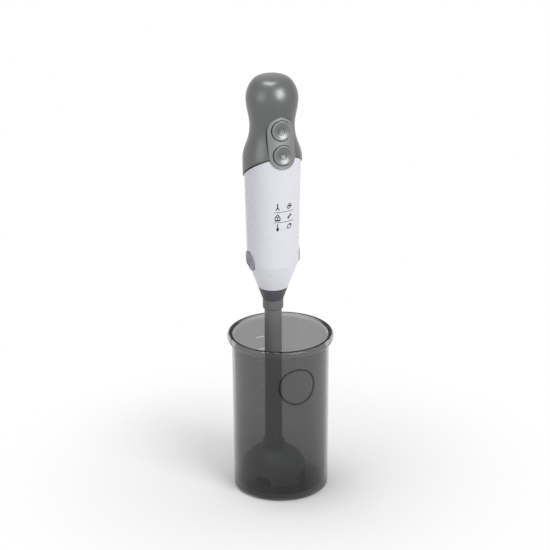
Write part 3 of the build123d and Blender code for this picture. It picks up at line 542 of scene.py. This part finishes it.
def lathe(bm, outline, segments):
    """Surface turned about Z from (radius, height) points, closed where the radius is 0."""
    rings = []
    for point in outline:
        if point.x < ON_AXIS:
            rings.append([bm.verts.new((0, 0, point.y))])
            continue
        ring = []
        for step in range(segments):
            turn = 2 * math.pi * step / segments
            ring.append(bm.verts.new((point.x * math.cos(turn), point.x * math.sin(turn), point.y)))
        rings.append(ring)
    for lower, upper in zip(rings, rings[1:]):
        for step in range(segments):
            other = (step + 1) % segments
            corners = [lower[step % len(lower)], lower[other % len(lower)],
                       upper[other % len(upper)], upper[step % len(upper)]]
            unique = list(dict.fromkeys(corners))
            if len(unique) > 2:
                bm.faces.new(unique)


def stroke(bm, points, width, closed):
    """Flat ribbon of even width along a line of 2-D points, in short steps."""
    line = in_short_steps([Vector(p) for p in points], width, closed)
    count = len(line)
    left, right = [], []
    for index, here in enumerate(line):
        before = line[(index - 1) % count] if closed or index > 0 else here
        after = line[(index + 1) % count] if closed or index < count - 1 else here
        along = (after - before).normalized()
        side = Vector((-along.y, along.x)) * width / 2
        left.append(bm.verts.new((*(here + side), 0)))
        right.append(bm.verts.new((*(here - side), 0)))
    for index in range(count if closed else count - 1):
        other = (index + 1) % count
        bm.faces.new([left[index], right[index], right[other], left[other]])


def in_short_steps(line, step, closed):
    """The same line with points no further apart than step."""
    ends = line + [line[0]] if closed else line
    points = []
    for start, end in zip(ends, ends[1:]):
        pieces = max(1, math.ceil((end - start).length / step))
        points += [start.lerp(end, part / pieces) for part in range(pieces)]
    return points if closed else points + [line[-1]]


def arc(centre, radius, start, end, steps):
    """2-D points on an arc, angles in degrees."""
    turns = [math.radians(start + (end - start) * step / steps) for step in range(steps + 1)]
    return [(centre[0] + radius * math.cos(turn), centre[1] + radius * math.sin(turn)) for turn in turns]


def oval(centre, half_width, half_height, steps=24, lean=0):
    """2-D points round an ellipse that leans to the left by some degrees."""
    level, rise = math.cos(math.radians(lean)), math.sin(math.radians(lean))
    points = []
    for step in range(steps):
        turn = 2 * math.pi * step / steps
        x, y = half_width * math.cos(turn), half_height * math.sin(turn)
        points.append((centre[0] + x * level - y * rise, centre[1] + x * rise + y * level))
    return points


def drawing(lines, size, width, height):
    """Raised lines on a flat base at 0, from points given in shares of a size."""
    bm = bmesh.new()
    for line in lines:
        stroke(bm, [(x * size, y * size) for x, y in line.points], width * line.weight, line.closed)
    bmesh.ops.remove_doubles(bm, verts=bm.verts, dist=WELD)
    bm.normal_update()
    bmesh.ops.solidify(bm, geom=bm.faces[:], thickness=height)
    base = min(vertex.co.z for vertex in bm.verts)
    for vertex in bm.verts:
        vertex.co.z -= base
    return bm


def surface_of(node):
    """What a point can be dropped onto: the surface of a CAD node."""
    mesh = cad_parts[node].data
    corners = [vertex.co.copy() for vertex in mesh.vertices]
    return BVHTree.FromPolygons(corners, [tuple(face.vertices) for face in mesh.polygons])


# ---------------------------------------------------------------- measuring cup
def cup_outline(cup):
    """The cup's section, from the middle of its underside round to the middle of its floor."""
    top = CUP_HIGH.z
    rim = (CUP_HIGH.x - CUP_LOW.x) / 2
    base = cup.wall_radius - cup.draft
    inner_top = cup.wall_radius - cup.wall
    inner_base = base - cup.wall
    rim_low = top - cup.rim_height
    step = (rim - cup.wall_radius) / 2
    return rounded_outline([
        (0, cup.foot_recess, 0),
        (base - 2 * cup.base_round, cup.foot_recess, cup.foot_recess),
        (base - 2 * cup.base_round + cup.foot_recess, 0, cup.foot_recess),
        (base, 0, cup.base_round),
        (cup.wall_radius, rim_low - step, step),
        (rim, rim_low, step / 2),
        (rim, top, cup.rim_round),
        (inner_top + cup.lead_in, top, cup.rim_round / 3),
        (inner_top, top - cup.lead_depth, cup.rim_round / 3),
        (inner_base, cup.floor, cup.base_round),
        (0, cup.floor, 0),
    ])


def wall_at(cup, height):
    """Outside radius of the cup's wall at a height."""
    share = height / (CUP_HIGH.z - cup.rim_height)
    return cup.wall_radius - cup.draft * (1 - share)


def wrap_on_cup(cup, bm, side, height, turn):
    """Rolls flat marks round the cup's wall, sunk by as much as they stand out."""
    for vertex in bm.verts:
        level = height + vertex.co.y
        radius = wall_at(cup, level) + vertex.co.z
        angle = turn + (side + vertex.co.x) / cup.wall_radius
        vertex.co = Vector((radius * math.sin(angle), -radius * math.cos(angle), level))


def add_mark(cup, target, points, width, side, height, turn, closed=False):
    """Adds one raised, rolled mark to the meshes that are joined to the cup."""
    bm = bmesh.new()
    stroke(bm, points, width, closed)
    bm.normal_update()
    bmesh.ops.solidify(bm, geom=bm.faces[:], thickness=2 * cup.relief)
    middle = sum(vertex.co.z for vertex in bm.verts) / len(bm.verts)
    for vertex in bm.verts:
        vertex.co.z -= middle
    wrap_on_cup(cup, bm, side, height, turn)
    bmesh.ops.recalc_face_normals(bm, faces=bm.faces)
    mesh = bpy.data.meshes.new("mark")
    bm.to_mesh(mesh)
    bm.free()
    target.from_mesh(mesh)
    bpy.data.meshes.remove(mesh)


def fill_height(cup, millilitres):
    """Height of a volume in the cup."""
    inside = cup.wall_radius - cup.draft / 2 - cup.wall
    return cup.floor + millilitres * MILLILITRE / (math.pi * inside ** 2)


def cup_marks(cup):
    """Raised ring on the front and fill marks on the back, as one loose mesh."""
    marks = bmesh.new()
    middle = cup.ring_radius - cup.ring_band / 2
    ring = oval((0, 0), middle, middle, cup.ring_steps)
    add_mark(cup, marks, ring, cup.ring_band, -cup.ring_shift, cup.ring_height, 0, closed=True)
    for step in range(1, cup.mark_count + 1):
        half = (cup.long_mark if step % 2 == 0 else cup.short_mark) / 2
        height = fill_height(cup, step * cup.mark_volume)
        add_mark(cup, marks, [(-half, 0), (half, 0)], cup.mark_thickness, 0, height, math.pi)
    return marks


class TOYBLENDER_OT_cup(bpy.types.Operator):
    """Build the clear measuring cup with its rim, ring and fill marks"""
    bl_idname = "toyblender.cup"
    bl_label = "Measuring cup"

    def execute(self, context):
        cup = context.scene.toyblender_cup
        clear = smoky_clear("smoky_clear_plastic", cup)
        bm = bmesh.new()
        lathe(bm, cup_outline(cup), cup.segments)
        vessel = new_piece("cup", bm, clear, "cup", cup.smooth)
        marks = new_piece("cup_marks", cup_marks(cup), clear, "cup")
        union = vessel.modifiers.new("marks", "BOOLEAN")
        union.operation = "UNION"
        union.solver = "EXACT"
        union.object = marks
        evaluated = vessel.evaluated_get(context.evaluated_depsgraph_get())
        joined = bpy.data.meshes.new_from_object(evaluated)
        vessel.modifiers.clear()
        vessel.data = joined
        bpy.data.objects.remove(marks)
        smooth_by_angle(vessel, cup.smooth)
        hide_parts("measuring_cup")
        return {"FINISHED"}


# ---------------------------------------------------------------- printed pictograms
Line = namedtuple("Line", ("points", "weight", "closed"), defaults=(1.0, False))

# Lines of each drawing about its middle, in shares of its size. A weight of 1 is a plain line
PICTOGRAMS = {
    # blending stick with a spread foot
    "foot": (
        Line([(0, 0.5), (0, 0.36)], weight=1.6),
        Line([(0, 0.36), (0, -0.1)], weight=1.3),
        Line([(-0.22, -0.42), (-0.14, -0.22), (0, -0.1), (0.14, -0.22), (0.22, -0.42)], weight=1.1),
    ),
    # round vegetable beside a smaller dark one
    "vegetables": (
        Line(oval((-0.12, -0.12), 0.24, 0.22), closed=True),
        Line([(-0.2, -0.06), (0.02, -0.02)], weight=0.9),
        Line(arc((0.04, 0.1), 0.2, 20, 170, steps=10)),
        Line([(0.1, -0.14), (0.34, 0.08)], weight=1.8),
    ),
    # bowl with a peaked lid, a blade inside and a heavy base
    "bowl": (
        Line([(-0.34, -0.42), (-0.34, -0.04), (0, 0.44), (0.34, -0.04), (0.34, -0.42)],
             weight=1.1, closed=True),
        Line([(-0.3, -0.42), (0.3, -0.42)], weight=1.7),
        Line([(0, 0.1), (0, -0.3)], weight=0.9),
        Line([(-0.16, 0), (0.16, 0)], weight=0.8),
    ),
    # herb: a full leaf and a small one on a slanting stalk
    "leaves": (
        Line([(-0.28, -0.3), (-0.02, 0)], weight=2.4),
        Line([(0.06, 0.06), (0.22, 0.32)], weight=1.3),
        Line([(0.06, 0.08), (0.34, 0.04)], weight=1.3),
        Line([(-0.1, -0.06), (0.14, 0.14)], weight=1.2),
    ),
    # whisk: thin handle over a full bulb of wires
    "whisk": (
        Line([(0, 0.5), (0, 0)], weight=1.1),
        Line([(0, 0.02), (0, -0.44)], weight=1.9),
        Line(oval((0, -0.26), 0.14, 0.18, steps=20), closed=True),
    ),
    # egg lying on a slant, with a shaded end
    "egg": (
        Line(oval((0, 0), 0.38, 0.26, lean=40), closed=True),
        Line([(0.06, 0.28), (0.28, 0.12)], weight=1.5),
    ),
}
ROWS = (("foot", "vegetables"), ("bowl", "leaves"), ("whisk", "egg"))


class TOYBLENDER_OT_prints(bpy.types.Operator):
    """Print the rows of pictograms and their dividing lines on the front of the body"""
    bl_idname = "toyblender.prints"
    bl_label = "Printed pictograms"

    def execute(self, context):
        prints = context.scene.toyblender_prints
        ink = printed_ink("black_print", prints.ink)
        shell = surface_of("front_shell")
        for row, pair in enumerate(ROWS):
            height = prints.top_row - row * prints.row_pitch
            for side, name in zip((-1, 1), pair):
                bm = drawing(PICTOGRAMS[name], prints.icon, prints.stroke, prints.ink_height)
                place = prints.column_middle + side * prints.column_shift
                self.print_on(prints, shell, f"print_{name}", bm, ink, place, height)
        rule = Line([(-prints.rule_left, 0), (prints.rule_right, 0)])
        for row in range(1, len(ROWS)):
            height = prints.top_row - (row - 0.5) * prints.row_pitch
            bm = drawing([rule], size=1, width=prints.rule, height=prints.ink_height)
            self.print_on(prints, shell, f"print_rule_{row}", bm, ink, 0, height)
        return {"FINISHED"}

    def print_on(self, prints, shell, name, bm, ink, side, height):
        """Wraps a drawing round the body's front, on the shell's own surface."""
        radius = AXIS_Y - SHELL_LOW.y
        for vertex in bm.verts:
            turn = (side + vertex.co.x) / radius
            outward = Vector((math.sin(turn), -math.cos(turn), 0))
            axis = Vector((AXIS_X, AXIS_Y, height + vertex.co.y))
            hit = shell.ray_cast(axis + outward * 2 * radius, -outward)[0]
            if hit is None:
                raise RuntimeError(f"{name} has no shell under it")
            vertex.co = hit + outward * (vertex.co.z - prints.ink_height * prints.ink_sunk)
        new_piece(name, bm, ink, "handle")


# ---------------------------------------------------------------- raised symbols on the buttons
SYMBOLS = {
    # open ring with a bar in its gap
    "lower_button": (
        Line(arc((0, 0), 1, 125, 415, steps=40)),
        Line([(0, 0.2), (0, 1.1)]),
    ),
    # ring in a ring
    "upper_button": (
        Line(oval((0, 0), 1, 1, steps=40), closed=True),
        Line(oval((0, 0), 0.4, 0.4), closed=True),
    ),
}


class TOYBLENDER_OT_symbols(bpy.types.Operator):
    """Raise a plain symbol on the face of each push button"""
    bl_idname = "toyblender.symbols"
    bl_label = "Button symbols"

    def execute(self, context):
        buttons = context.scene.toyblender_buttons
        silver = silver_paint("symbol_silver_paint", context.scene.toyblender_finishes.symbol_silver)
        for node, lines in SYMBOLS.items():
            bm = drawing(lines, buttons.symbol_radius, buttons.symbol_line, buttons.symbol_height)
            self.seat(buttons, node, bm)
            new_piece(f"{node}_symbol", bm, silver, node)
        return {"FINISHED"}

    def seat(self, buttons, node, bm):
        """Lays a drawing on a button's dished face."""
        low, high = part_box(node)
        face = surface_of(node)
        out = Vector((0, -math.cos(buttons.tilt), math.sin(buttons.tilt)))
        up = Vector((0, math.sin(buttons.tilt), math.cos(buttons.tilt)))
        before = (low + high) / 2 + out * (high - low).length
        for vertex in bm.verts:
            hit = face.ray_cast(before + Vector((vertex.co.x, 0, 0)) + up * vertex.co.y, -out)[0]
            if hit is None:
                raise RuntimeError(f"{node} has no face under its symbol")
            vertex.co = hit + out * (vertex.co.z - buttons.symbol_height * buttons.symbol_sunk)


# ---------------------------------------------------------------- finishes on the solid pieces
def dress(nodes, material):
    """Gives CAD nodes a material in all their slots."""
    for node in nodes:
        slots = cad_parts[node].material_slots
        if not slots:
            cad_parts[node].data.materials.append(material)
        for place in slots:
            place.material = material


class TOYBLENDER_OT_handle(bpy.types.Operator):
    """Finish the white body, the silver grip, its buttons and the release buttons"""
    bl_idname = "toyblender.handle"
    bl_label = "Handle finishes"

    def execute(self, context):
        finishes = context.scene.toyblender_finishes
        white = moulded("gloss_white_plastic", finishes.body_white, roughness=0.28, grain=1.2,
                        mottle=0.01, coat=0.2, relief=0.003)
        release = moulded("release_grey_plastic", finishes.release_grey, roughness=0.42, grain=0.4)
        dress(["front_shell", "rear_shell", "battery_door"], white)
        # Grip and bezel are lit and shaded copies of one silver paint
        dress(["grip_front", "grip_rear"], silver_paint("grip_silver_paint", finishes.grip_silver))
        dress(["button_bezel"], silver_paint("bezel_silver_paint", finishes.lit_bezel_silver))
        dress(["lower_button", "upper_button"], silver_paint("button_silver_paint", finishes.button_silver))
        dress(["left_release", "right_release"], release)
        return {"FINISHED"}


class TOYBLENDER_OT_foot(bpy.types.Operator):
    """Finish the cone, the tube, the bell and the blade"""
    bl_idname = "toyblender.foot"
    bl_label = "Foot finishes"

    def execute(self, context):
        finishes = context.scene.toyblender_finishes
        # The collar is painted lighter than the cone above it, as lit and shaded copies of one grey plastic
        collar = (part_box("foot_cone")[0].z + finishes.collar_height, finishes.lit_collar_grey)
        cone = moulded("cone_grey_plastic", finishes.cone_grey, roughness=0.45, grain=0.35, below=collar)
        foot = moulded("foot_grey_plastic", finishes.foot_grey, roughness=0.4, grain=0.45)
        blade = moulded("blade_grey_plastic", finishes.blade_grey, roughness=0.36, grain=0.5)
        bush = moulded("bush_nylon", finishes.inner_white, roughness=0.5, grain=0.3)
        dress(["foot_cone"], cone)
        dress(["shaft_tube", "blade_guard"], foot)
        dress(["blade", "blade_hub"], blade)
        dress(["lower_bush", "upper_bush"], bush)
        return {"FINISHED"}


class TOYBLENDER_OT_inner(bpy.types.Operator):
    """Finish the drive, the cells, the board and every other hidden piece"""
    bl_idname = "toyblender.inner"
    bl_label = "Inner finishes"

    def execute(self, context):
        finishes = context.scene.toyblender_finishes
        steel = turned_steel("bright_steel", finishes.steel)
        plated = turned_steel("plated_motor_case", dimmed(finishes.steel, 0.85), roughness=0.34)
        black = moulded("black_plastic", finishes.black, roughness=0.45, grain=0.4)
        pale = moulded("inner_white_plastic", finishes.inner_white, roughness=0.48, grain=0.5)
        jacket = cell_jacket("cell_jacket", finishes.cell_jacket, finishes.cell_band, finishes.steel)
        dress(["drive_shaft", "motor_shaft", "board_screws", "shell_screws", "door_screw",
               "lower_button_spring", "upper_button_spring", "right_release_spring",
               "left_release_spring", "contact_plates", "contact_springs"], steel)
        dress(["motor"], plated)
        dress(["drive_dog", "motor_dog", "lower_switch", "upper_switch", "sound_chip", "speaker"], black)
        dress(["drive_housing", "battery_tray"], pale)
        dress(["switch_board"], lacquered_board("green_board", finishes.board_green))
        dress(["right_cell", "middle_cell", "left_cell"], jacket)
        return {"FINISHED"}


# ---------------------------------------------------------------- stage
# Where each light stands and the side of its square, in metres
LIGHTS = {
    "key": ((0.6, -1.9, 1.3), 1.2),
    "fill": ((-1.9, -0.6, 0.8), 1.2),
    "top": ((-0.2, 0.2, 2.2), 1.0),
}


def soft_light(name, eye, target, side, power):
    """Square light that looks at a point, and doesn't show through clear plastic."""
    lamp = bpy.data.lights.new(name, "AREA")
    lamp.shape = "SQUARE"
    lamp.size = side
    lamp.energy = power
    light = bpy.data.objects.new(name, lamp)
    turn = (target - eye).to_track_quat("-Z", "Y").to_matrix().to_4x4()
    light.matrix_world = Matrix.Translation(eye) @ turn
    light.visible_transmission = False
    bpy.context.scene.collection.objects.link(light)


def set_camera(stage):
    """Camera that looks from an azimuth and elevation, leaning by its roll."""
    back = Vector((math.sin(stage.azimuth) * math.cos(stage.elevation),
                   -math.cos(stage.azimuth) * math.cos(stage.elevation), math.sin(stage.elevation)))
    level = Vector((0, 0, 1)).cross(back).normalized()
    upright = back.cross(level)
    right = level * math.cos(stage.roll) + upright * math.sin(stage.roll)
    up = upright * math.cos(stage.roll) - level * math.sin(stage.roll)
    data = bpy.data.cameras.new("camera")
    data.lens = stage.lens
    data.sensor_width = stage.sensor
    data.sensor_fit = "HORIZONTAL"
    data.clip_end = stage.clip_end
    camera = bpy.data.objects.new("camera", data)
    turn = Matrix((right, up, back)).transposed().to_4x4()
    camera.matrix_world = Matrix.Translation(Vector(stage.target) + back * stage.distance) @ turn
    bpy.context.scene.collection.objects.link(camera)
    bpy.context.scene.camera = camera


def set_sky(strength):
    """Even light all round, white where the camera looks past the floor."""
    sky = Paint("sky", "worlds")
    even = sky.node("ShaderNodeBackground", inputs=[WHITE, strength])
    white = sky.node("ShaderNodeBackground", inputs=[WHITE, 1.0])
    mixed = sky.node("ShaderNodeMixShader", inputs=[sky.looked_at(), even, white])
    bpy.context.scene.world = sky.done(mixed, "ShaderNodeOutputWorld")


class TOYBLENDER_OT_stage(bpy.types.Operator):
    """Add the floor, the soft lights, the sky and the camera"""
    bl_idname = "toyblender.stage"
    bl_label = "Stage"

    def execute(self, context):
        stage = context.scene.toyblender_stage
        target = Vector((AXIS_X, AXIS_Y, SHELL_LOW.z))
        bm = bmesh.new()
        bmesh.ops.create_grid(bm, x_segments=1, y_segments=1, size=stage.floor_size / 2)
        mesh = bpy.data.meshes.new("floor")
        bm.to_mesh(mesh)
        bm.free()
        mesh.materials.append(floor_paint("pale_floor", stage))
        floor = bpy.data.objects.new("floor", mesh)
        context.scene.collection.objects.link(floor)
        for name, (eye, side) in LIGHTS.items():
            soft_light(f"{name}_light", Vector(eye), target, side, getattr(stage, f"{name}_power"))
        set_sky(stage.sky)
        set_camera(stage)
        context.scene.view_settings.view_transform = "Standard"
        return {"FINISHED"}


# ---------------------------------------------------------------- add-on
class TOYBLENDER_PT_panel(bpy.types.Panel):
    """Sidebar panel with every step of the toy blender"""
    bl_idname = "TOYBLENDER_PT_panel"
    bl_label = "Toy Blender"
    bl_space_type = "VIEW_3D"
    bl_region_type = "UI"
    bl_category = "Toy Blender"

    def draw(self, context):
        for step in STEPS:
            self.layout.operator(step.bl_idname)
        for group in GROUPS:
            settings = getattr(context.scene, group)
            box = self.layout.box()
            for name in settings.bl_rna.properties.keys():
                if name not in ("rna_type", "name"):
                    box.prop(settings, name)


GROUPS = {
    "toyblender_cup": TOYBLENDER_PG_cup,
    "toyblender_prints": TOYBLENDER_PG_prints,
    "toyblender_buttons": TOYBLENDER_PG_buttons,
    "toyblender_finishes": TOYBLENDER_PG_finishes,
    "toyblender_stage": TOYBLENDER_PG_stage,
}
STEPS = (
    TOYBLENDER_OT_stage,
    TOYBLENDER_OT_handle,
    TOYBLENDER_OT_foot,
    TOYBLENDER_OT_inner,
    TOYBLENDER_OT_cup,
    TOYBLENDER_OT_prints,
    TOYBLENDER_OT_symbols,
)


def register():
    """Registers the settings, the steps and the panel."""
    for kind in (*GROUPS.values(), *STEPS, TOYBLENDER_PT_panel):
        bpy.utils.register_class(kind)
    for name, kind in GROUPS.items():
        setattr(bpy.types.Scene, name, PointerProperty(type=kind))


def unregister():
    """Takes them all out again."""
    for name in GROUPS:
        delattr(bpy.types.Scene, name)
    for kind in reversed((*GROUPS.values(), *STEPS, TOYBLENDER_PT_panel)):
        bpy.utils.unregister_class(kind)


def main():
    """Runs every step in order."""
    register()
    for step in STEPS:
        group, name = step.bl_idname.split(".")
        getattr(getattr(bpy.ops, group), name)()


if __name__ == "__main__":
    main()
